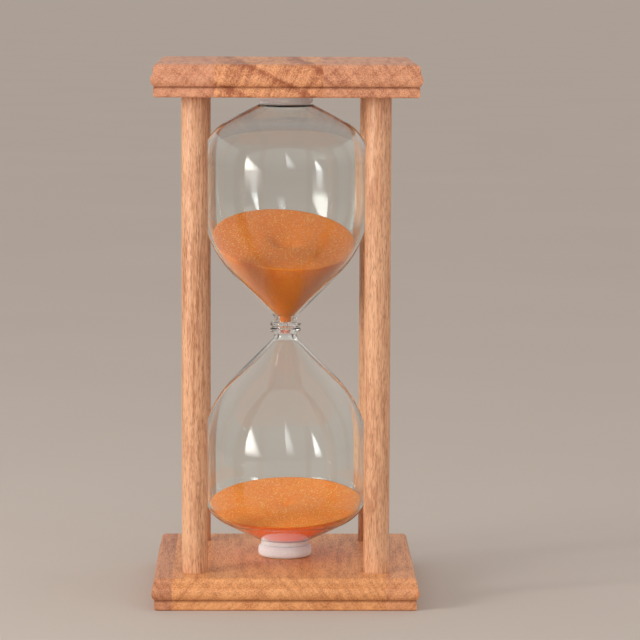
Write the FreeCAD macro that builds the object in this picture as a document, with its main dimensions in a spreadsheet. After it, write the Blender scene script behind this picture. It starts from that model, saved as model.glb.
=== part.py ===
import FreeCAD, Part
import math
import os
import Sketcher
from FreeCAD import Placement, Rotation, Vector

# A sand hourglass in a beech frame: two moulded plates joined by four round posts, with a pair
# of blown glass bulbs held between two soft pads. Millimetres, +Z up, +Y towards the back.
# The origin is the centre of the base's underside.

SIZES = {
    # the whole frame
    "overall_height": 250,
    "plate_width": 123,
    "plate_depth": 123,
    "plate_thickness": 15,
    # the moulding run round each plate, from its lower edge to its upper edge
    "bottom_round": 1,
    "lower_band_inset": 1.3,
    "quirk_bottom": 4.4,
    "quirk_top": 4.7,
    "bead_radius": 4,
    "bead_height": 8,
    "step_height": 10.4,
    "upper_band_inset": 1.1,
    "top_round": 2.2,
    # the staves glued edge to edge into each plate; the middle ones take what is left
    "base_left_stave": 9.3,
    "base_right_stave": 15.3,
    "top_left_stave": 28.7,
    "top_right_stave": 45.1,
    # the posts, glued into blind sockets
    "post_diameter": 12,
    "post_spacing_across": 84,
    "post_spacing_deep": 84,
    "post_chamfer": 0.8,
    "socket_depth": 8,
    "glue_gap": 0.1,
    # the soft pads and the stopper of the filling mouth
    "pad_diameter": 25.3,
    "pad_thickness": 5.5,
    "pad_round": 2,
    "stopper_diameter": 22.5,
    "flange_thickness": 2.5,
    "flange_round": 0.9,
    "stem_diameter": 16,
    "stem_length": 6,
    "stem_round": 1.2,
    "stem_gap": 0.1,
    # the glass, measured on its outside unless the name says otherwise
    "neck_drop": 0.5,
    "bulb_diameter": 80,
    "glass_wall": 1.3,
    "end_wall": 1.6,
    "end_diameter": 25.2,
    "end_round": 0.8,
    "cone_angle": 45,
    "shoulder_angle": 26.5,
    "belly_round": 54,
    "upper_shoulder_round": 25,
    "lower_shoulder_round": 20,
    "collar_diameter": 14.4,
    "collar_length": 5.2,
    "collar_round": 1.2,
    "throat_diameter": 11.3,
    "throat_length": 5.4,
    "throat_round": 4,
    "least_band": 1,
    "throat_bore": 5.6,
    "throat_bore_round": 3.2,
    "throat_floor_round": 1.2,
    "orifice": 1.6,
    "web_thickness": 2.6,
    # the sand: its level on the axis, how its surface leans and the funnel drained in it
    "sand_gap": 0.15,
    "upper_sand_level": 39.7,
    "upper_sand_slope": 19,
    "upper_sand_lean": 3.3,
    "upper_funnel_depth": 4.5,
    "lower_sand_level": 16.8,
    "lower_sand_slope": 9.9,
    "lower_sand_lean": -1.4,
    "lower_funnel_depth": 2,
    "funnel_slope": 32,
}

PLATE_TOP = "sizes.plate_thickness"
TOP_PLATE_HEIGHT = "(sizes.overall_height - sizes.plate_thickness)"
NECK_HEIGHT = "(sizes.overall_height / 2 - sizes.neck_drop)"
LOWER_GLASS_END = "(sizes.plate_thickness + sizes.pad_thickness + sizes.flange_thickness)"
UPPER_GLASS_END = f"({TOP_PLATE_HEIGHT} - sizes.pad_thickness)"
HALF_WIDTH = "sizes.plate_width / 2"
HALF_DEPTH = "sizes.plate_depth / 2"

doc = FreeCAD.newDocument("hourglass")
sheet = doc.addObject("Spreadsheet::Sheet", "sizes")
for row, (name, value) in enumerate(SIZES.items(), start=1):
    sheet.set(f"A{row}", name)
    sheet.set(f"B{row}", str(value))
    sheet.setAlias(f"B{row}", name)
doc.recompute()


def number(expression):
    """The value that an expression on the sizes has now."""
    found = sheet.evalExpression(expression)
    return float(getattr(found, "Value", found))


def corner(across, up, rounding="0", bow="0"):
    """A corner of an outline. The side between two corners that have a bow is an arc."""
    return across, up, rounding, bow


def bowed_side(start, end, radius, outward):
    """The arc from start to end that bulges to the outward side."""
    chord = end - start
    half = chord.Length / 2
    rise = radius - math.sqrt(radius**2 - half**2)
    aside = Vector(chord.y, -chord.x, 0).normalize() * outward
    return Part.Arc(start, start + chord / 2 + aside * rise, end)


def rounded_corner(before, spot, after, radius):
    """Where a rounding leaves the two sides of a corner, and the arc between."""
    back = (before - spot).normalize()
    ahead = (after - spot).normalize()
    half_angle = back.getAngle(ahead) / 2
    run = radius / math.tan(half_angle)
    centre = spot + (back + ahead).normalize() * (radius / math.sin(half_angle))
    middle = centre + (spot - centre).normalize() * radius
    start = spot + back * run
    end = spot + ahead * run
    return start, end, Part.Arc(start, middle, end)


def draw_outline(sketch, corners):
    """Draw a closed outline whose corners, roundings and bows are bound to expressions."""
    spots = [Vector(number(across), number(up), 0) for across, up, _, _ in corners]
    count = len(corners)
    turn = sum(spots[i - 1].x * spots[i].y - spots[i].x * spots[i - 1].y for i in range(count))
    outward = 1 if turn > 0 else -1
    leaves, arrives, arcs = list(spots), list(spots), {}
    for i, (_, _, rounding, _) in enumerate(corners):
        if number(rounding) > 0:
            ahead = spots[(i + 1) % count]
            arrives[i], leaves[i], arcs[i] = rounded_corner(spots[i - 1], spots[i], ahead, number(rounding))

    sides, rules, bound = [], [], []

    def bind(rule, expression):
        bound.append((len(rules), expression))
        rules.append(rule)

    first_rule = sketch.ConstraintCount
    for i in range(count):
        after = (i + 1) % count
        bow = corners[i][3] if number(corners[after][3]) > 0 else "0"
        if number(bow) > 0:
            arc = bowed_side(leaves[i], arrives[after], number(bow), outward)
            side = sketch.addGeometry(arc, False)
            bind(Sketcher.Constraint("Radius", side, number(bow)), bow)
        else:
            side = sketch.addGeometry(Part.LineSegment(leaves[i], arrives[after]), False)
        begins_at_leaving = sketch.getPoint(side, 1).isEqual(leaves[i], 1e-6)
        sides.append((side, 1, 2) if begins_at_leaving else (side, 2, 1))

    for i, (across, up, rounding, _) in enumerate(corners):
        side_in, _, end_in = sides[i - 1]
        side_out, start_out, _ = sides[i]
        if i in arcs:
            mark = sketch.addGeometry(Part.Point(spots[i]), True)
            arc = sketch.addGeometry(arcs[i], False)
            arc_in, arc_out = (1, 2) if sketch.getPoint(arc, 1).isEqual(arrives[i], 1e-6) else (2, 1)
            rules.append(Sketcher.Constraint("PointOnObject", mark, 1, side_in))
            rules.append(Sketcher.Constraint("PointOnObject", mark, 1, side_out))
            rules.append(Sketcher.Constraint("Tangent", side_in, end_in, arc, arc_in))
            rules.append(Sketcher.Constraint("Tangent", arc, arc_out, side_out, start_out))
            bind(Sketcher.Constraint("Radius", arc, number(rounding)), rounding)
            pinned = (mark, 1)
        else:
            rules.append(Sketcher.Constraint("Coincident", side_in, end_in, side_out, start_out))
            pinned = (side_out, start_out)
        bind(Sketcher.Constraint("DistanceX", -1, 1, *pinned, spots[i].x), across)
        bind(Sketcher.Constraint("DistanceY", -1, 1, *pinned, spots[i].y), up)
    sketch.addConstraint(rules)
    for place, expression in bound:
        sketch.setExpression(f"Constraints[{first_rule + place}]", expression)


def new_body(name, height="0"):
    """An empty body for one piece, lifted to its height in the hourglass."""
    body = doc.addObject("PartDesign::Body", name)
    body.Label = name
    body.setExpression(".Placement.Base.z", height)
    return body


def new_sketch(body, plane, purpose, offset="0"):
    """A sketch on one of the body's own origin planes, moved along that plane's normal."""
    sketch = body.newObject("Sketcher::SketchObject", f"{body.Name}_{purpose}")
    planes = {feature.Role: feature for feature in body.Origin.OriginFeatures}
    sketch.AttachmentSupport = [(planes[plane], "")]
    sketch.MapMode = "FlatFace"
    sketch.setExpression(".AttachmentOffset.Base.z", offset)
    return sketch


def cut_away(body, kind, sketch, purpose, bound=None, **settings):
    """Add a pocket or a groove, and check that it takes material away."""
    doc.recompute()
    before = body.Shape.Volume
    feature = body.newObject(f"PartDesign::{kind}", f"{body.Name}_{purpose}")
    feature.Profile = sketch
    for name, value in settings.items():
        setattr(feature, name, value)
    for name, expression in (bound or {}).items():
        feature.setExpression(name, expression)
    doc.recompute()
    if body.Shape.Volume > before - 1e-6:
        raise RuntimeError(f"{feature.Name} cuts nothing")


def turned_piece(name, height, corners):
    """A piece turned about Z: half its outline, in radius and height, revolved."""
    body = new_body(name, height)
    sketch = new_sketch(body, "XZ_Plane", "outline")
    draw_outline(sketch, corners)
    turned = body.newObject("PartDesign::Revolution", f"{name}_turned")
    turned.Profile = sketch
    turned.ReferenceAxis = (sketch, ["V_Axis"])
    turned.Angle = 360
    return body


# --- the plates: staves glued edge to edge, with one moulding run round all four sides ---


def bead_inset(height):
    """How far the round bead stands back from its crest at a height."""
    return f"(sizes.bead_radius - sqrt(sizes.bead_radius ^ 2 - (({height}) - sizes.bead_height) ^ 2))"


# the upper rounding is held to the band above the step, so that a thin plate keeps its step
TOP_ROUND = "min(sizes.top_round; (sizes.plate_thickness - sizes.step_height) * 0.9)"
MOULDING = [
    ("sizes.lower_band_inset", "0", "sizes.bottom_round", "0"),
    ("sizes.lower_band_inset", "sizes.quirk_bottom", "0", "0"),
    (bead_inset("sizes.quirk_top"), "sizes.quirk_top", "0", "sizes.bead_radius"),
    (bead_inset("sizes.step_height"), "sizes.step_height", "0", "sizes.bead_radius"),
    ("sizes.upper_band_inset", "sizes.step_height", "0", "0"),
    ("sizes.upper_band_inset", "sizes.plate_thickness", TOP_ROUND, "0"),
]


def plate_section(half_span):
    """The plate's section between two moulded edges."""
    near = [corner(f"-({half_span} - {inset})", *rest) for inset, *rest in MOULDING]
    far = [corner(f"{half_span} - {inset}", *rest) for inset, *rest in reversed(MOULDING)]
    return near + far


def mould_end(body):
    """Run the moulding across a stave that is at an end of the plate."""
    sketch = new_sketch(body, "XZ_Plane", "end_moulding")
    beyond = f"({HALF_WIDTH} + sizes.plate_thickness)"
    above = "sizes.plate_thickness * 2"
    frame = [(f"-{beyond}", f"-({above})"), (beyond, f"-({above})"), (beyond, above), (f"-{beyond}", above)]
    draw_outline(sketch, [corner(across, up) for across, up in frame])
    draw_outline(sketch, plate_section(HALF_WIDTH))
    cut_away(body, "Pocket", sketch, "end_cut", Type="ThroughAll", SideType="Symmetric")


def drill_sockets(body, left, right, open_end, upwards):
    """Drill the blind sockets of the posts that stand on a stave."""
    reach = number("sizes.post_diameter / 2 + sizes.glue_gap")
    across = [side for side in ("-", "")
              if number(left) - reach < number(f"{side}sizes.post_spacing_across / 2") < number(right) + reach]
    if not across:
        return
    sketch = new_sketch(body, "XY_Plane", "sockets", open_end)
    for side in across:
        for end in ("-", ""):
            place_x = f"{side}sizes.post_spacing_across / 2"
            place_y = f"{end}sizes.post_spacing_deep / 2"
            ring = Part.Circle(Vector(number(place_x), number(place_y), 0), Vector(0, 0, 1), reach)
            hole = sketch.addGeometry(ring, False)
            rules = [
                (Sketcher.Constraint("DistanceX", -1, 1, hole, 3, number(place_x)), place_x),
                (Sketcher.Constraint("DistanceY", -1, 1, hole, 3, number(place_y)), place_y),
                (Sketcher.Constraint("Radius", hole, reach), "sizes.post_diameter / 2 + sizes.glue_gap"),
            ]
            for rule, expression in rules:
                sketch.setExpression(f"Constraints[{sketch.addConstraint(rule)}]", expression)
    cut_away(body, "Pocket", sketch, "socket_cut", {"Length": "sizes.socket_depth"}, Reversed=upwards)


def glue_up_plate(plate, height, seams, open_end, upwards):
    """Make a plate's staves, from its left edge to its right edge."""
    staves = []
    last = len(seams) - 1
    for place in range(last):
        left, right = seams[place], seams[place + 1]
        body = new_body(f"{plate}_stave_{place + 1}", height)
        sketch = new_sketch(body, "YZ_Plane", "section", left)
        draw_outline(sketch, plate_section(HALF_DEPTH))
        board = body.newObject("PartDesign::Pad", f"{body.Name}_board")
        board.Profile = sketch
        board.setExpression("Length", f"({right}) - ({left})")
        if place == 0 or place == last - 1:
            mould_end(body)
        drill_sockets(body, left, right, open_end, upwards)
        staves.append(body)
    return staves


def seams_between(left_stave, right_stave, middle_staves):
    """The seams of a plate whose middle staves share what its end staves leave."""
    start = f"-{HALF_WIDTH} + {left_stave}"
    shared = f"(sizes.plate_width - {left_stave} - {right_stave})"
    inner = [f"{start} + {shared} * {i / middle_staves}" for i in range(middle_staves + 1)]
    return [f"-{HALF_WIDTH}", *inner, HALF_WIDTH]


base_seams = seams_between("sizes.base_left_stave", "sizes.base_right_stave", 2)
top_seams = seams_between("sizes.top_left_stave", "sizes.top_right_stave", 1)
pieces = glue_up_plate("base", "0", base_seams, PLATE_TOP, False)
pieces += glue_up_plate("top", TOP_PLATE_HEIGHT, top_seams, "0", True)


# --- the posts: dowels whose ends stand on the floors of their sockets ---

post_length = "(sizes.overall_height - 2 * sizes.plate_thickness + 2 * sizes.socket_depth)"
post_outline = [
    corner("0", "0"),
    corner("sizes.post_diameter / 2 - sizes.post_chamfer", "0"),
    corner("sizes.post_diameter / 2", "sizes.post_chamfer"),
    corner("sizes.post_diameter / 2", f"{post_length} - sizes.post_chamfer"),
    corner("sizes.post_diameter / 2 - sizes.post_chamfer", post_length),
    corner("0", post_length),
]
for deep, end in (("-", "front"), ("", "rear")):
    for across, side in (("-", "left"), ("", "right")):
        post = turned_piece(f"post_{end}_{side}", f"{PLATE_TOP} - sizes.socket_depth", post_outline)
        post.setExpression(".Placement.Base.x", f"{across}sizes.post_spacing_across / 2")
        post.setExpression(".Placement.Base.y", f"{deep}sizes.post_spacing_deep / 2")
        pieces.append(post)


# --- the pads between the glass and the plates, and the stopper of the filling mouth ---

pad_outline = [
    corner("0", "0"),
    corner("sizes.pad_diameter / 2", "0", "sizes.pad_round"),
    corner("sizes.pad_diameter / 2", "sizes.pad_thickness", "sizes.pad_round"),
    corner("0", "sizes.pad_thickness"),
]
pieces.append(turned_piece("lower_pad", PLATE_TOP, pad_outline))
pieces.append(turned_piece("upper_pad", UPPER_GLASS_END, pad_outline))

stem_top = "(sizes.flange_thickness + sizes.stem_length)"
stopper_outline = [
    corner("0", "0"),
    corner("sizes.stopper_diameter / 2", "0", "sizes.flange_round"),
    corner("sizes.stopper_diameter / 2", "sizes.flange_thickness", "sizes.flange_round"),
    corner("sizes.stem_diameter / 2", "sizes.flange_thickness"),
    corner("sizes.stem_diameter / 2", stem_top, "sizes.stem_round"),
    corner("0", stem_top),
]
pieces.append(turned_piece("lower_stopper", f"{PLATE_TOP} + sizes.pad_thickness", stopper_outline))


# --- the glass: two blown bulbs fused at the neck, drawn from the neck outwards ---

THROAT_RADIUS = "(sizes.throat_diameter / 2)"
BULB_RADIUS = "(sizes.bulb_diameter / 2)"
END_RADIUS = "(sizes.end_diameter / 2)"
HALF_WEB = "(sizes.web_thickness / 2)"


class Bulb:
    """One bulb: its length from the neck to its flat end, and which way it points."""

    def __init__(self, direction, length, shoulder_round):
        self.direction = direction
        self.length = length
        self.shoulder_round = shoulder_round

    def point(self, radius, distance, rounding="0"):
        """A corner at a radius and at a distance from the neck."""
        return corner(radius, f"{self.direction} * ({distance})", rounding)

    def on_cone(self, radius, inset):
        """How far from the neck the cone, or its parallel at an inset, has a radius."""
        return (f"(sizes.throat_length + ({radius} - {THROAT_RADIUS} + {inset} / cos(sizes.cone_angle))"
                f" / tan(sizes.cone_angle))")

    def on_shoulder(self, radius, inset):
        """How far from the neck the shoulder, or its parallel at an inset, has a radius."""
        return (f"({self.length} - ({radius} - {END_RADIUS}) * tan(sizes.shoulder_angle)"
                f" - {inset} / cos(sizes.shoulder_angle))")

    def belly(self, inset):
        """The two rounded corners of the belly, at an inset from the outer face."""
        radius = f"({BULB_RADIUS} - {inset})"
        low, high = self.on_cone(BULB_RADIUS, "0"), self.on_shoulder(BULB_RADIUS, "0")
        shoulder_run = f"{self.shoulder_round} * tan((90 - sizes.shoulder_angle) / 2)"
        room = f"({high} - {low} - {shoulder_run} - sizes.least_band) / tan(sizes.cone_angle / 2)"
        return [
            self.point(radius, self.on_cone(radius, inset), f"min(sizes.belly_round; {room}) - {inset}"),
            self.point(radius, self.on_shoulder(radius, inset), f"{self.shoulder_round} - {inset}"),
        ]

    def outside(self):
        """The outer face, from the collar at the neck to the rim of the flat end."""
        collar_radius, collar_end = "sizes.collar_diameter / 2", "sizes.collar_length / 2"
        return [
            self.point(collar_radius, "0"),
            self.point(collar_radius, collar_end, "sizes.collar_round"),
            self.point(THROAT_RADIUS, collar_end),
            self.point(THROAT_RADIUS, "sizes.throat_length", "sizes.throat_round"),
            *self.belly("0"),
            self.point(END_RADIUS, self.length, "sizes.end_round"),
        ]

    def hollow(self, gap="0"):
        """The inner face, or what clears it by a gap, from the throat's floor to the end."""
        inset = f"(sizes.glass_wall + {gap})"
        bore = f"(sizes.throat_bore / 2 - {gap})"
        end_face = f"({self.length} - sizes.end_wall - {gap})"
        drop = f"(sizes.end_wall + {gap} - {inset} / cos(sizes.shoulder_angle))"
        return [
            self.point(bore, f"{HALF_WEB} + {gap}", f"sizes.throat_floor_round - {gap}"),
            self.point(bore, self.on_cone(bore, inset), "sizes.throat_bore_round"),
            *self.belly(inset),
            self.point(f"{END_RADIUS} + {drop} / tan(sizes.shoulder_angle)", end_face),
        ]

    def glass(self, mouth_radius):
        """The whole wall, closed across the flat end but for its mouth."""
        orifice_radius = "sizes.orifice / 2"
        return [
            self.point(orifice_radius, "0"),
            *self.outside(),
            self.point(mouth_radius, self.length),
            self.point(mouth_radius, f"{self.length} - sizes.end_wall"),
            *reversed(self.hollow()),
            self.point(orifice_radius, HALF_WEB),
        ]


upper = Bulb("1", f"({UPPER_GLASS_END} - {NECK_HEIGHT})", "sizes.upper_shoulder_round")
lower = Bulb("-1", f"({NECK_HEIGHT} - {LOWER_GLASS_END})", "sizes.lower_shoulder_round")
mouth = "(sizes.stem_diameter / 2 + sizes.stem_gap)"
pieces.append(turned_piece("upper_bulb", NECK_HEIGHT, upper.glass("0")))
pieces.append(turned_piece("lower_bulb", NECK_HEIGHT, lower.glass(mouth)))


# --- the sand: it fills each bulb up to a leaning surface with a small funnel in it ---


def level_sand(body, level, slope, lean, funnel_depth):
    """Clear a bulb's sand away above its leaning surface, and sink the funnel in it."""
    reach = f"({BULB_RADIUS} * 2)"
    rise = f"{reach} * tan({slope})"
    sketch = new_sketch(body, "YZ_Plane", "surface")
    sketch.AttachmentOffset = Placement(Vector(), Rotation(Vector(1, 0, 0), number(lean)))
    sketch.setExpression(".AttachmentOffset.Rotation.Angle", lean)
    draw_outline(sketch, [
        corner(f"-{reach}", f"{level} - {rise}"),
        corner(reach, f"{level} + {rise}"),
        corner(reach, "sizes.overall_height"),
        corner(f"-{reach}", "sizes.overall_height"),
    ])
    cut_away(body, "Pocket", sketch, "surface_cut", Type="ThroughAll", SideType="Symmetric")
    sketch = new_sketch(body, "XZ_Plane", "funnel")
    draw_outline(sketch, [
        corner("0", f"{level} - {funnel_depth}"),
        corner(BULB_RADIUS, f"{level} - {funnel_depth} + {BULB_RADIUS} * tan(sizes.funnel_slope)"),
        corner("0", f"{level} + {BULB_RADIUS} * tan(sizes.funnel_slope)"),
    ])
    cut_away(body, "Groove", sketch, "funnel_cut", ReferenceAxis=(sketch, ["V_Axis"]), Angle=360)


floor = f"{HALF_WEB} + sizes.sand_gap"
ceiling = f"{upper.length} - sizes.end_wall - sizes.sand_gap"
upper_fill = [upper.point("0", floor), *upper.hollow("sizes.sand_gap"), upper.point("0", ceiling)]
upper_sand = turned_piece("upper_sand", NECK_HEIGHT, upper_fill)
level_sand(upper_sand, "sizes.upper_sand_level", "sizes.upper_sand_slope", "sizes.upper_sand_lean",
           "sizes.upper_funnel_depth")
pieces.append(upper_sand)

round_stem = "(sizes.stem_diameter / 2 + sizes.sand_gap)"
over_stem = f"{lower.length} - sizes.stem_length - sizes.sand_gap"
ground = f"{lower.length} - sizes.end_wall - sizes.sand_gap"
lower_fill = [
    lower.point("0", floor),
    *lower.hollow("sizes.sand_gap"),
    lower.point(round_stem, ground),
    lower.point(round_stem, over_stem),
    lower.point("0", over_stem),
]
lower_sand = turned_piece("lower_sand", NECK_HEIGHT, lower_fill)
level_sand(lower_sand, f"(sizes.lower_sand_level - {lower.length})", "sizes.lower_sand_slope",
           "sizes.lower_sand_lean", "sizes.lower_funnel_depth")
pieces.append(lower_sand)


# --- check every object, then write one file for each piece ---

doc.recompute()
for thing in doc.Objects:
    if "Invalid" in thing.State or "Error" in thing.State:
        raise RuntimeError(f"{thing.Name} did not rebuild: {thing.State}")
for piece in pieces:
    if piece.Shape.isNull() or not piece.Shape.isValid() or len(piece.Shape.Solids) != 1:
        raise RuntimeError(f"{piece.Label} is not one sound solid")

os.makedirs("parts", exist_ok=True)
for piece in pieces:
    piece.Shape.exportStep(f"parts/{piece.Label}.step")
    print(piece.Label, round(piece.Shape.Volume, 1))
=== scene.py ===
import math
import bpy
from mathutils import Matrix, Vector, noise


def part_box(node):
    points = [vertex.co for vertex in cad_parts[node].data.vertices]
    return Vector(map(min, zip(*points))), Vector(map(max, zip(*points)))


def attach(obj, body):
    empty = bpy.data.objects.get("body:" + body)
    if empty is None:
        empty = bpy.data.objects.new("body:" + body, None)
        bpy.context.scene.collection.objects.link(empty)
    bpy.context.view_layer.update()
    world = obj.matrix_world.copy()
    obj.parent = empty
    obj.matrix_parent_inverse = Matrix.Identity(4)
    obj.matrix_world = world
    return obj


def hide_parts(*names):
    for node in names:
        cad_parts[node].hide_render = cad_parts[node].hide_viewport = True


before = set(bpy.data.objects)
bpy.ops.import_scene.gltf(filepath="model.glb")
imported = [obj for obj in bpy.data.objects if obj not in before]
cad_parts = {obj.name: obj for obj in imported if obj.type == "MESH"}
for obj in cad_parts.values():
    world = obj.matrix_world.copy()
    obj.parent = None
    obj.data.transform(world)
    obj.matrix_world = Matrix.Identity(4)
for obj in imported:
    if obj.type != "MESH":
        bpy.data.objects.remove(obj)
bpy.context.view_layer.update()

# --- Plates ---
# Two boards of steamed beech, each glued up from staves with the grain running front to back, so
# the front and back edges show end grain. A cutter has run one moulding round all four sides, and
# the boards are sealed with a satin lacquer.


class Socket:
    """An output of a shader tree. Arithmetic on it adds Math nodes."""

    def __init__(self, finish, socket):
        self.finish = finish
        self.socket = socket

    def maths(self, operation, *values):
        return self.finish.node("ShaderNodeMath", {"operation": operation}, dict(enumerate(values)))

    def __add__(self, other):
        return self.maths("ADD", self, other)

    __radd__ = __add__

    def __sub__(self, other):
        return self.maths("SUBTRACT", self, other)

    def __rsub__(self, other):
        return self.maths("SUBTRACT", other, self)

    def __mul__(self, other):
        return self.maths("MULTIPLY", self, other)

    __rmul__ = __mul__

    def __truediv__(self, other):
        return self.maths("DIVIDE", self, other)

    def __pow__(self, other):
        return self.maths("POWER", self, other)


class Tree:
    """A node tree that is written as expressions."""

    def __init__(self, tree):
        self.tree = tree
        self.tree.nodes.clear()

    def node(self, kind, settings=None, inputs=None, output=0):
        """Add a node, set it up, then fill its sockets with values or links."""
        made = self.tree.nodes.new(kind)
        for name, value in (settings or {}).items():
            if name == "stops":
                ramp = made.color_ramp.elements
                while len(ramp) < len(value):
                    ramp.new(1)
                for stop, (place, shade) in zip(ramp, value):
                    stop.position = place
                    stop.color = (shade, shade, shade, 1)
            else:
                setattr(made, name, value)
        for name, value in (inputs or {}).items():
            if isinstance(value, Socket):
                self.tree.links.new(value.socket, made.inputs[name])
            else:
                made.inputs[name].default_value = value
        return Socket(self, made.outputs[output]) if len(made.outputs) else None

    def split(self, vector):
        """The three numbers of a vector."""
        return [self.node("ShaderNodeSeparateXYZ", None, {0: vector}, axis) for axis in range(3)]

    def join(self, x, y, z):
        """A vector from three numbers."""
        return self.node("ShaderNodeCombineXYZ", None, {0: x, 1: y, 2: z})


class Finish(Tree):
    """A material for one of the hourglass's surfaces."""

    def __init__(self, name):
        self.material = bpy.data.materials.new(name)
        self.material.use_nodes = True
        super().__init__(self.material.node_tree)

    def mix(self, factor, first, second, blend="MIX"):
        """Mix two colours."""
        settings = {"data_type": "RGBA", "blend_type": blend}
        return self.node("ShaderNodeMix", settings, {0: factor, 6: first, 7: second}, 2)

    def ramp(self, value, *stops):
        """Bend a number along a ramp of (place, shade) stops."""
        return self.node("ShaderNodeValToRGB", {"stops": stops}, {0: value})

    def noise(self, vector, scale=1, detail=2, roughness=0.5):
        """Soft noise between 0 and 1."""
        inputs = {"Vector": vector, "Scale": scale, "Detail": detail, "Roughness": roughness}
        return self.node("ShaderNodeTexNoise", None, inputs)

    def stretch(self, vector, amounts):
        """A vector scaled along each axis."""
        return self.node("ShaderNodeVectorMath", {"operation": "MULTIPLY"}, {0: vector, 1: amounts})

    def millimetres(self, shift=(0, 0, 0)):
        """The piece's own coordinates in millimetres."""
        place = self.node("ShaderNodeTexCoord", None, None, 3)
        return self.node("ShaderNodeMapping", None, {"Vector": place, "Location": shift, "Scale": (1000, 1000, 1000)})

    def finish_with(self, **sockets):
        """End the tree in a Principled shader."""
        named = {name.replace("_", " "): value for name, value in sockets.items()}
        self.surface(self.node("ShaderNodeBsdfPrincipled", None, named))
        return self.material

    def surface(self, shader):
        """Send a shader to the material's surface."""
        self.node("ShaderNodeOutputMaterial", None, {"Surface": shader})


def paint(red, green, blue):
    """A colour from its everyday 0 to 255 values."""
    linear = [(c / 255 / 12.92) if c <= 10 else ((c / 255 + 0.055) / 1.055) ** 2.4 for c in (red, green, blue)]
    return (*linear, 1)


def beech(name, along, heart, light, dark, ring, ring_depth, seed, painted_groove_shade_at=None):
    """Lacquered beech: growth rings and rays about a heart line, pores, and dark flecks along the grain."""
    wood = Finish(name)
    place = wood.millimetres(shift=(seed, seed * 1.7, -seed))
    across, deep, up = wood.split(wood.millimetres())
    side, length, rise = (across, deep, up) if along == "Y" else (across, up, deep)

    def lengthways(width, run):
        """The place, scaled across the grain and along it."""
        return wood.stretch(place, (width, run, width) if along == "Y" else (width, width, run))

    sway = wood.noise(lengthways(1, 0.06), 0.045, 2)
    side_off, rise_off = side - heart[0], rise - heart[1]
    radius = (side_off * side_off + rise_off * rise_off) ** 0.5 + sway * 3 + length * 0.03
    turn = wood.node("ShaderNodeMath", {"operation": "ARCTAN2"}, {0: rise_off, 1: side_off})
    phase = wood.node("ShaderNodeMath", {"operation": "FRACT"}, {0: radius / ring})
    rings = wood.ramp(phase, (0, 0.1), (0.6, 0.25), (0.84, 1), (0.97, 0.1))
    rays = wood.noise(wood.join(turn * 110, radius * 0.05, length * 0.04), 1, 2, 0.5)
    pores = wood.noise(lengthways(1, 0.08), 2.0, 2, 0.75)
    clouds = wood.noise(lengthways(1, 0.15), 0.07, 2)
    cells = {"Vector": lengthways(2.0, 0.3), "Scale": 1, "Randomness": 1}
    reach = wood.node("ShaderNodeTexVoronoi", None, cells, 0)
    tone = wood.node("ShaderNodeTexVoronoi", None, cells, 1)
    fleck = wood.ramp(reach, (0.2, 1), (0.42, 0)) * wood.ramp(wood.split(tone)[0], (0.5, 0), (0.7, 1))
    shade = rings * ring_depth + (rays - 0.5) * 1.5 + (pores - 0.5) * 2.7 + (clouds - 0.5) * 0.8 + 0.24
    colour = wood.mix(wood.ramp(shade, (0, 0), (1, 1)), light, dark)
    colour = wood.mix(fleck * 0.55, colour, paint(116, 62, 32))
    # Painted shade: a thin dark line is mixed into the colour at a given height, along the moulding's groove, where
    # shade falls.
    if painted_groove_shade_at:
        line = wood.node("ShaderNodeMath", {"operation": "ABSOLUTE"}, {0: up - painted_groove_shade_at})
        colour = wood.mix(wood.ramp(line, (0.2, 0.5), (0.9, 0)), colour, paint(104, 54, 30))
    height = pores * 0.7 - fleck * 0.6 + rings * 0.15
    bump = wood.node("ShaderNodeBump", None, {"Strength": 0.35, "Distance": 0.00012, "Height": height})
    return wood.finish_with(Base_Color=colour, Roughness=0.4 + pores * 0.2, Normal=bump,
                            Coat_Weight=0.12, Coat_Roughness=0.25)


# Height in millimetres above each plate's underside of the painted shade line in the moulding's groove.
painted_groove_shade_rise = 4.5
plate_staves = {
    "base_stave_1": ((-150, 170), paint(212, 148, 108), paint(156, 88, 52), 7.0, 0.3),
    "base_stave_2": ((-190, -150), paint(238, 170, 112), paint(184, 110, 60), 8.0, 0.22),
    "base_stave_3": ((160, -170), paint(236, 168, 110), paint(182, 108, 58), 7.0, 0.2),
    "base_stave_4": ((190, 150), paint(230, 162, 112), paint(174, 102, 58), 6.0, 0.22),
    "top_stave_1": ((-190, 60), paint(226, 162, 126), paint(170, 100, 66), 6.5, 0.25),
    "top_stave_2": ((-124, 0), paint(240, 172, 122), paint(160, 86, 50), 13.0, 0.75),
    "top_stave_3": ((180, 60), paint(230, 166, 126), paint(166, 96, 66), 6.0, 0.3),
}
for order, (stave, (heart, light, dark, ring, ring_depth)) in enumerate(plate_staves.items()):
    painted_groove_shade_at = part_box(stave)[0].z * 1000 + painted_groove_shade_rise
    material = beech(f"beech_{stave}", "Y", heart, light, dark, ring, ring_depth, 37.0 * order, painted_groove_shade_at)
    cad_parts[stave].data.materials.clear()
    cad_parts[stave].data.materials.append(material)

# --- Posts ---
# Four straight beech dowels, sanded and lacquered, with the grain running up them. Their eased
# ends are glued into blind sockets in the plates.


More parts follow.
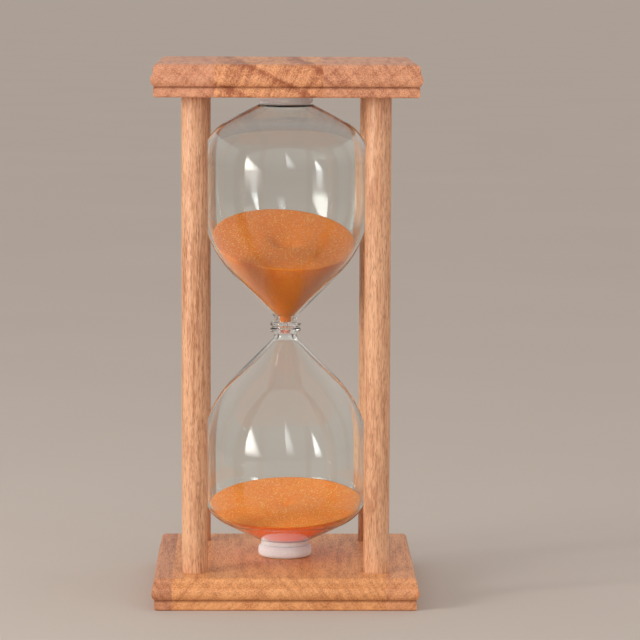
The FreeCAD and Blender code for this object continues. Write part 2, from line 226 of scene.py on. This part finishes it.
class Maker(Tree):
    """A geometry tree with named inputs, run once on a mesh to give another plain mesh."""

    kinds = {int: "NodeSocketInt", float: "NodeSocketFloat", Vector: "NodeSocketVector"}

    def __init__(self, name, **defaults):
        super().__init__(bpy.data.node_groups.new(name, "GeometryNodeTree"))
        sides = self.tree.interface
        sides.new_socket("Geometry", in_out="OUTPUT", socket_type="NodeSocketGeometry")
        sides.new_socket("Geometry", in_out="INPUT", socket_type="NodeSocketGeometry")
        sides.new_socket("Finish", in_out="INPUT", socket_type="NodeSocketMaterial")
        for title, value in defaults.items():
            sides.new_socket(title, in_out="INPUT", socket_type=self.kinds[type(value)]).default_value = value
        self.given = {item.name: self.node("NodeGroupInput", None, None, item.name)
                      for item in sides.items_tree if item.in_out == "INPUT"}

    def close(self, geometry):
        """End the tree: real geometry in its finish."""
        real = self.node("GeometryNodeRealizeInstances", None, {0: geometry})
        painted = self.node("GeometryNodeSetMaterial", None, {"Geometry": real, "Material": self.given["Finish"]})
        self.node("NodeGroupOutput", None, {0: painted})

    def make(self, name, start, **values):
        """Run the tree on a mesh and return the result as a mesh of its own."""
        holder = bpy.data.objects.new(name, start)
        bpy.context.scene.collection.objects.link(holder)
        modifier = holder.modifiers.new("make", "NODES")
        modifier.node_group = self.tree
        for item in self.tree.interface.items_tree:
            if item.in_out == "INPUT" and item.name in values:
                modifier[item.identifier] = values[item.name]
        seen = holder.evaluated_get(bpy.context.evaluated_depsgraph_get())
        mesh = bpy.data.meshes.new_from_object(seen)
        holder.modifiers.remove(modifier)
        bpy.data.objects.remove(holder)
        mesh.name = name
        return mesh


lathe = Maker("turned_on_its_axis", Segments=96, Centre=Vector((0, 0, 0)))
profile, segments = lathe.given["Geometry"], lathe.given["Segments"]
rows = lathe.node("GeometryNodeAttributeDomainSize", {"component": "MESH"}, {0: profile})
sheet = lathe.node("GeometryNodeMeshGrid", None, {"Vertices X": rows, "Vertices Y": segments + 1})
index = lathe.node("GeometryNodeInputIndex")
row = lathe.node("ShaderNodeMath", {"operation": "FLOOR"}, {0: (index + 0.5) / (segments + 1)})
angle = (index - row * (segments + 1)) / segments * (2 * math.pi)
corner = lathe.node("GeometryNodeSampleIndex", {"data_type": "FLOAT_VECTOR"}, {
    "Geometry": profile, "Value": lathe.node("GeometryNodeInputPosition"), "Index": row})
reach, _, height = lathe.split(corner)
cosine = lathe.node("ShaderNodeMath", {"operation": "COSINE"}, {0: angle})
sine = lathe.node("ShaderNodeMath", {"operation": "SINE"}, {0: angle})
turned = lathe.node("GeometryNodeSetPosition", None, {
    "Geometry": sheet, "Position": lathe.join(reach * cosine, reach * sine, height)})
closed = lathe.node("GeometryNodeMergeByDistance", None, {"Geometry": turned, "Distance": 1e-6})
stood_up = lathe.node("GeometryNodeTransform", None, {"Geometry": closed, "Translation": lathe.given["Centre"]})
outwards = lathe.node("GeometryNodeFlipFaces", None, {"Mesh": stood_up})
lathe.close(lathe.node("GeometryNodeSetShadeSmooth", None, {"Geometry": outwards}))


def turned_mesh(name, outline, material, segments=96, centre=(0, 0, 0)):
    """Turn an outline of (radius, height), from its foot on the axis to its top, into a closed mesh."""
    drawn = bpy.data.meshes.new(name)
    drawn.from_pydata([(radius, 0, height) for radius, height in outline],
                      [(i, i + 1) for i in range(len(outline) - 1)], [])
    return lathe.make(name, drawn, Segments=segments, Centre=centre, Finish=material)


def rounded(corners, steps=8):
    """The points of an outline whose corners are (radius, height, rounding)."""
    spots = [Vector(corner[:2]) for corner in corners]
    points = []
    for i, corner in enumerate(corners):
        rounding = corner[2] if len(corner) > 2 else 0
        if not rounding or i in (0, len(corners) - 1):
            points.append(tuple(spots[i]))
            continue
        back, ahead = (spots[i - 1] - spots[i]).normalized(), (spots[i + 1] - spots[i]).normalized()
        half = back.angle(ahead) / 2
        run = rounding / math.tan(half)
        centre = spots[i] + (back + ahead).normalized() * (rounding / math.sin(half))
        start, end = spots[i] + back * run - centre, spots[i] + ahead * run - centre
        sweep = math.pi - 2 * half
        for step in range(steps + 1):
            t = step / steps
            mixed = start * math.sin((1 - t) * sweep) + end * math.sin(t * sweep)
            points.append(tuple(centre + mixed / math.sin(sweep)))
    return points


def place_piece(name, mesh, slot, *replaced):
    """Put a finished mesh in the scene as a piece of the hourglass."""
    piece = bpy.data.objects.new(name, mesh)
    bpy.context.scene.collection.objects.link(piece)
    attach(piece, "root")
    if replaced:
        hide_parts(*replaced)
    return piece


post_ease = 0.0008
post_tones = paint(230, 178, 138), paint(176, 114, 76)
for order, post in enumerate(("post_front_left", "post_front_right", "post_rear_left", "post_rear_right")):
    low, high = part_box(post)
    radius = (high.x - low.x) / 2
    outline = rounded([(0, low.z), (radius, low.z, post_ease), (radius, high.z, post_ease), (0, high.z)], 5)
    centre = (low + high) / 2
    heart = (centre.x * 1000 + 70, centre.y * 1000 - 90 + 30 * order)
    material = beech(f"beech_{post}", "Z", heart, *post_tones, 5.5, 0.2, 61.0 * order)
    mesh = turned_mesh(f"{post}_dowel", outline, material, 64, (centre.x, centre.y, 0))
    place_piece(f"{post}_dowel", mesh, "beech_post", post)

# --- Glass ---
# Two bulbs of clear borosilicate glass, blown thin and fused at the neck, where a thick collar
# holds a web with a pinhole. The top end is sealed flat and the bottom end has the filling mouth.

glass_wall = 0.0013
end_wall = 0.0016
end_radius = 0.0126
cone_angle = math.radians(45)
shoulder_angle = math.radians(26.5)
belly_round = 0.054
shoulder_rounds = {"upper_bulb": 0.025, "lower_bulb": 0.020}
throat_radius, throat_length, throat_round = 0.0053, 0.00505, 0.004
collar_radius, collar_half, collar_round, fuse_notch = 0.0072, 0.0026, 0.0012, 0.0014
throat_bore, throat_bore_round, floor_round = 0.0028, 0.0044, 0.0009
orifice_radius, half_web = 0.0008, 0.0013
neck_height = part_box("upper_bulb")[0].z
bulb_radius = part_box("upper_bulb")[1].x
mouth_radius = 0.0081


def bulb_face(bulb, inset, deepen=0.0):
    """The corners of a bulb's cone, belly and end, at an inset from its outer face."""
    low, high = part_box(bulb)
    length = high.z - low.z
    shoulder_round = shoulder_rounds[bulb] - inset
    radius = bulb_radius - inset

    def on_cone(at):
        return throat_length + (at - throat_radius + inset / math.cos(cone_angle)) / math.tan(cone_angle)

    shoulder = length - (radius - end_radius) * math.tan(shoulder_angle) - inset / math.cos(shoulder_angle)
    drop = deepen - inset / math.cos(shoulder_angle)
    return on_cone, [
        (radius, on_cone(radius), belly_round - inset),
        (radius, shoulder, shoulder_round),
        (end_radius + drop / math.tan(shoulder_angle), length - deepen, 0.0008),
    ]


def outer_face(bulb):
    """A bulb's outer face, from the neck to the rim of its end."""
    on_cone, belly = bulb_face(bulb, 0)
    return [(collar_radius - fuse_notch, 0, 0.0004), (collar_radius, 0.0007, 0.0006),
            (collar_radius, collar_half, collar_round), (throat_radius, collar_half, 0.0007),
            (throat_radius, throat_length, throat_round), *belly]


def inner_face(bulb, gap=0.0):
    """A bulb's inner face, or what clears it by a gap, from the throat's floor to the end."""
    on_cone, belly = bulb_face(bulb, glass_wall + gap, end_wall + gap)
    bore = throat_bore - gap
    return [(bore, half_web + gap, floor_round - gap), (bore, on_cone(bore), throat_bore_round), *belly]


def stood(corners, direction):
    """Outline corners measured from the neck, put at their heights in the hourglass."""
    return [(radius, neck_height + direction * distance, *rest) for radius, distance, *rest in corners]


upper_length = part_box("upper_bulb")[1].z - neck_height
lower_length = neck_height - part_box("lower_bulb")[0].z
wall = rounded([
    (0, neck_height + upper_length),
    *stood(reversed(outer_face("upper_bulb")), 1),
    *stood(outer_face("lower_bulb")[1:], -1),
    (mouth_radius, neck_height - lower_length, 0.0003),
    (mouth_radius, neck_height - lower_length + end_wall, 0.0003),
    *stood(reversed(inner_face("lower_bulb")), -1),
    (orifice_radius, neck_height - half_web, 0.0004),
    (orifice_radius, neck_height + half_web, 0.0004),
    *stood(inner_face("upper_bulb"), 1),
    (0, neck_height + upper_length - end_wall),
], 18)
glass = Finish("clear_blown_glass")
ripple = glass.noise(glass.millimetres(), 0.05, 1)
glass_bump = glass.node("ShaderNodeBump", None, {"Strength": 0.06, "Distance": 0.001, "Height": ripple})
clear = glass.node("ShaderNodeBsdfPrincipled", None, {
    "Base Color": paint(250, 253, 252), "Roughness": 0.0, "IOR": 1.47, "Transmission Weight": 1.0,
    "Normal": glass_bump})
see_through = glass.node("ShaderNodeBsdfTransparent", None, {"Color": paint(250, 251, 250)})
shadow_ray = glass.node("ShaderNodeLightPath", None, None, 1)
glass.surface(glass.node("ShaderNodeMixShader", None, {0: shadow_ray, 1: clear, 2: see_through}))
vessel = turned_mesh("glass_vessel", wall[::-1], glass.material, 128)
place_piece("glass_vessel", vessel, "clear_glass", "upper_bulb", "lower_bulb")

# --- Sand ---
# Fine quartz sand dyed orange, the same in both bulbs. It fills the upper cone down to the pinhole,
# its surface leans to the front, and a shallow funnel has drained in the middle.


sand_gap = 0.00015


def sand_mesh(name, bulb, direction, level, slope, lean, funnel, bottom, segments=160):
    """Sand in a bulb: a leaning surface out to the glass, then the inner face down to the bottom."""
    face = rounded(stood(inner_face(bulb, sand_gap), direction), 24)
    heights = [height for _, height in face]
    order = sorted(range(len(face)), key=lambda i: heights[i])
    ladder = [(face[i][1], face[i][0]) for i in order]

    def wall_at(height):
        for (low, narrow), (high, wide) in zip(ladder, ladder[1:]):
            if low <= height <= high and high > low:
                return narrow + (wide - narrow) * (height - low) / (high - low)
        return ladder[-1][1] if height > ladder[-1][0] else ladder[0][1]

    def surface(x, y, rim):
        plane = level + math.tan(slope) * y - math.tan(lean) * x
        reach = math.hypot(x, y)
        drained = level - funnel + reach * math.tan(math.radians(32))
        blend = 0.0016
        dip = drained - plane
        sunk = plane + (dip - math.sqrt(dip * dip + blend * blend)) / 2
        fade = max(0.0, 1 - (reach / rim) ** 4)
        swell = noise.noise(Vector((x, y, level)) * 70) * 0.0005 + noise.noise(Vector((x, y, level)) * 260) * 0.00012
        return sunk + swell * fade

    points, faces, rows = [(0, 0, surface(0, 0, 1))], [], []
    rims = []
    for i in range(segments):
        angle = 2 * math.pi * i / segments
        radius = bulb_radius / 2
        for _ in range(40):
            x, y = radius * math.cos(angle), radius * math.sin(angle)
            radius = radius * 0.5 + wall_at(level + math.tan(slope) * y - math.tan(lean) * x) * 0.5
        rims.append(radius)
    rings = 48
    for ring in range(1, rings + 1):
        rows.append(list(range(len(points), len(points) + segments)))
        for i in range(segments):
            angle, reach = 2 * math.pi * i / segments, rims[i] * ring / rings
            x, y = reach * math.cos(angle), reach * math.sin(angle)
            points.append((x, y, surface(x, y, rims[i])))
    steps = 40
    for step in range(1, steps + 1):
        rows.append(list(range(len(points), len(points) + segments)))
        for i in range(segments):
            angle = 2 * math.pi * i / segments
            top = points[rows[rings - 1][i]][2]
            height = top + (bottom - top) * step / steps
            radius = wall_at(height)
            points.append((radius * math.cos(angle), radius * math.sin(angle), height))
    rows.insert(0, [0] * segments)
    rows.append([len(points)] * segments)
    points.append((0, 0, bottom))
    for row, outer in zip(rows, rows[1:]):
        for i in range(segments):
            j = (i + 1) % segments
            loop = list(dict.fromkeys((row[i], outer[i], outer[j], row[j])))
            if len(loop) > 2:
                faces.append(loop)
    mesh = bpy.data.meshes.new(name)
    mesh.from_pydata(points, [], faces)
    mesh.shade_smooth()
    top = bpy.data.meshes.new(f"{name}_top")
    inner = (rings - 1) * segments
    top.from_pydata(points[:inner + 1], [], faces[:inner])
    return mesh, top


sand = Finish("orange_sand")
grain_place = sand.millimetres()
speck = sand.noise(grain_place, 1.6, 3, 0.8)
patch = sand.noise(grain_place, 0.12, 2)
sand_body = sand.mix(sand.ramp(speck, (0.34, 0), (0.66, 1)), paint(216, 98, 8), paint(252, 158, 46))
sand_colour = sand.mix(patch * 0.35, sand_body, paint(222, 100, 16))
sand_bump = sand.node("ShaderNodeBump", None, {"Strength": 0.7, "Distance": 0.0003, "Height": speck})
# Painted light: faces of the sand that look nearly straight down glow orange-red through emission, in place of light
# coming through the sand.
facing_down = 0 - sand.split(sand.node("ShaderNodeNewGeometry", None, None, "True Normal"))[2]
painted_underside_glow = sand.mix(sand.ramp(facing_down, (0.76, 0), (0.9, 1)), (0, 0, 0, 1), paint(255, 56, 4))
dyed_sand_with_painted_glow = sand.finish_with(Base_Color=sand_colour, Emission_Color=painted_underside_glow, Emission_Strength=0.45, Roughness=0.9, Normal=sand_bump, Subsurface_Weight=0.5,
                             Subsurface_Radius=(1.0, 0.3, 0.08), Subsurface_Scale=0.006)
grit = Finish("loose_sand_grains")
glint = grit.noise(grit.millimetres(), 1.1, 2, 0.8)
grit_colour = grit.mix(grit.ramp(glint, (0.4, 0), (0.6, 1)), paint(214, 98, 12), paint(255, 214, 142))
grit_finish = grit.finish_with(Base_Color=grit_colour, Roughness=0.45)

scatter = Maker("grains_on_a_surface", Density=620000.0, Size=0.00024, Seed=7)
spots = scatter.node("GeometryNodeDistributePointsOnFaces", None, {
    "Mesh": scatter.given["Geometry"], "Density": scatter.given["Density"], "Seed": scatter.given["Seed"]})
grain = scatter.node("GeometryNodeMeshIcoSphere", None, {"Radius": scatter.given["Size"], "Subdivisions": 1})
tumbled = scatter.node("FunctionNodeRandomValue", {"data_type": "FLOAT_VECTOR"},
                       {0: (0, 0, 0), 1: (6.28, 6.28, 6.28), "Seed": 3})
uneven = scatter.node("FunctionNodeRandomValue", {"data_type": "FLOAT_VECTOR"},
                      {0: (0.6, 0.6, 0.6), 1: (1.3, 1.3, 1.3), "Seed": 4})
scatter.close(scatter.node("GeometryNodeInstanceOnPoints", None, {
    "Points": spots, "Instance": grain, "Rotation": tumbled, "Scale": uneven}))

fills = (("upper_sand", "upper_bulb", 1, neck_height + 0.0397, 19, 3.3, 0.0045,
          neck_height + half_web + sand_gap),
         ("lower_sand", "lower_bulb", -1, neck_height - lower_length + 0.0168, 9.9, -1.4, 0.002,
          neck_height - lower_length + end_wall + sand_gap))
for seed, (node, bulb, direction, level, slope, lean, funnel, bottom) in enumerate(fills):
    body, surface = sand_mesh(f"{node}_fill", bulb, direction, level, math.radians(slope), math.radians(lean),
                              funnel, bottom)
    body.materials.append(dyed_sand_with_painted_glow)
    place_piece(f"{node}_fill", body, "orange_sand", node)
    grains = scatter.make(f"{node}_grains", surface, Finish=grit_finish, Seed=seed + 1)
    place_piece(f"{node}_grains", grains, "orange_sand")

# --- Pads and stopper ---
# Two soft white silicone pads hold the glass between the plates. A white plastic stopper with a
# thin flange closes the filling mouth under the lower bulb.

for name, slot, shade, rough in (("soft_white_silicone", "white_pad", paint(246, 250, 255), 0.5),
                                 ("white_moulded_plastic", "white_stopper", paint(246, 250, 254), 0.35)):
    white = Finish(name)
    dust = white.noise(white.millimetres(), 0.6, 4, 0.6)
    fine = white.noise(white.millimetres(), 6, 2)
    tint = white.mix(white.ramp(dust, (0.42, 0), (0.75, 1)), shade, paint(238, 238, 240))
    skin = white.node("ShaderNodeBump", None, {"Strength": 0.15, "Distance": 0.0001, "Height": fine})
    material = white.finish_with(Base_Color=tint, Roughness=rough + dust * 0.2, Normal=skin,
                                 Subsurface_Weight=0.1, Subsurface_Scale=0.002)
    if slot == "white_pad":
        for pad in ("lower_pad", "upper_pad"):
            low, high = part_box(pad)
            outline = rounded([(0, low.z), (high.x, low.z, 0.002), (high.x, high.z, 0.002), (0, high.z)], 10)
            place_piece(f"{pad}_disc", turned_mesh(f"{pad}_disc", outline, material), slot, pad)
    else:
        low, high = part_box("lower_stopper")
        flange_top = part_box("lower_bulb")[0].z
        stem_radius = 0.008
        outline = rounded([(0, low.z), (high.x, low.z, 0.0009), (high.x, flange_top, 0.0009),
                           (stem_radius, flange_top), (stem_radius, high.z, 0.0012), (0, high.z)], 8)
        place_piece("stopper_plug", turned_mesh("stopper_plug", outline, material), slot, "lower_stopper")

# --- Studio ---
# A plain pale floor under an even sky of studio light, with two soft boxes that fade at their edges.

floor_finish = Finish("pale_studio_floor")
paper = floor_finish.noise(floor_finish.millimetres(), 0.004, 2)
paper_colour = floor_finish.mix(paper, paint(192, 183, 176), paint(198, 189, 182))
floor_mesh = bpy.data.meshes.new("studio_floor")
floor_mesh.from_pydata([(40, 40, 0), (-40, 40, 0), (-40, -40, 0), (40, -40, 0)], [], [(0, 1, 2, 3)])
floor_mesh.materials.append(floor_finish.finish_with(Base_Color=paper_colour, Roughness=0.9))
floor = bpy.data.objects.new("studio_floor", floor_mesh)
bpy.context.scene.collection.objects.link(floor)

world = bpy.data.worlds.new("studio")
bpy.context.scene.world = world
world.use_nodes = True
sky = Tree(world.node_tree)
overhead = sky.split(sky.node("ShaderNodeTexCoord", None, None, 0))[2]
glow = sky.node("ShaderNodeValToRGB", {"stops": ((0.0, 0.34), (0.45, 0.74))}, {0: overhead})
tinted = sky.node("ShaderNodeMix", {"data_type": "RGBA", "blend_type": "MULTIPLY"},
                  {0: 1.0, 6: glow, 7: paint(255, 247, 240)}, 2)
sky.node("ShaderNodeOutputWorld", None, {
    "Surface": sky.node("ShaderNodeBackground", None, {"Color": tinted, "Strength": 1.0})})


def soft_box(name, azimuth, elevation, distance, width, height, power, colour):
    """A soft box aimed at the glass: azimuth 0 is the front and positive is to the right."""
    lamp = bpy.data.lights.new(name, "AREA")
    lamp.shape = "RECTANGLE"
    lamp.size, lamp.size_y = width, height
    lamp.energy = power
    lamp.color = colour
    lamp.use_nodes = True
    cloth = Tree(lamp.node_tree)
    rest, first, _ = cloth.split(cloth.node("ShaderNodeNewGeometry", None, None, "Parametric"))
    second = 1 - rest - first
    fade = (first * (1 - first) * second * (1 - second) * 16) ** 1.1
    cloth.node("ShaderNodeOutputLight", None, {
        "Surface": cloth.node("ShaderNodeEmission", None, {"Strength": fade * 2.2})})
    box = bpy.data.objects.new(name, lamp)
    turn, tilt = math.radians(azimuth), math.radians(elevation)
    aim = Vector((math.sin(turn) * math.cos(tilt), -math.cos(turn) * math.cos(tilt), math.sin(tilt)))
    box.location = Vector((0, 0, neck_height)) + aim * distance
    box.rotation_euler = aim.to_track_quat("Z", "Y").to_euler()
    bpy.context.scene.collection.objects.link(box)


soft_box("key_box", -46, 19, 1.15, 0.75, 0.85, 17, (1, 0.96, 0.91))
soft_box("fill_box", 47, 13, 1.3, 0.3, 0.7, 4, (0.96, 0.98, 1))
soft_box("window_card", 8, 24, 2.6, 0.7, 2.0, 9, (0.92, 0.96, 1))

camera = bpy.data.cameras.new("camera")
camera.lens = 184.7
camera.sensor_width = 36
camera.clip_start = 0.05
camera_object = bpy.data.objects.new("camera", camera)
bpy.context.scene.collection.objects.link(camera_object)
camera_object.matrix_world = (Matrix.Translation((-0.0095, -1.5424, 0.2983))
                              @ Matrix.Rotation(math.radians(-0.959), 4, "Z")
                              @ Matrix.Rotation(math.radians(-6.313), 4, "X")
                              @ Matrix.Rotation(math.radians(-0.21), 4, "Y")
                              @ Matrix.Rotation(math.radians(90), 4, "X"))
bpy.context.scene.camera = camera_object
bpy.context.scene.view_settings.view_transform = "Standard"
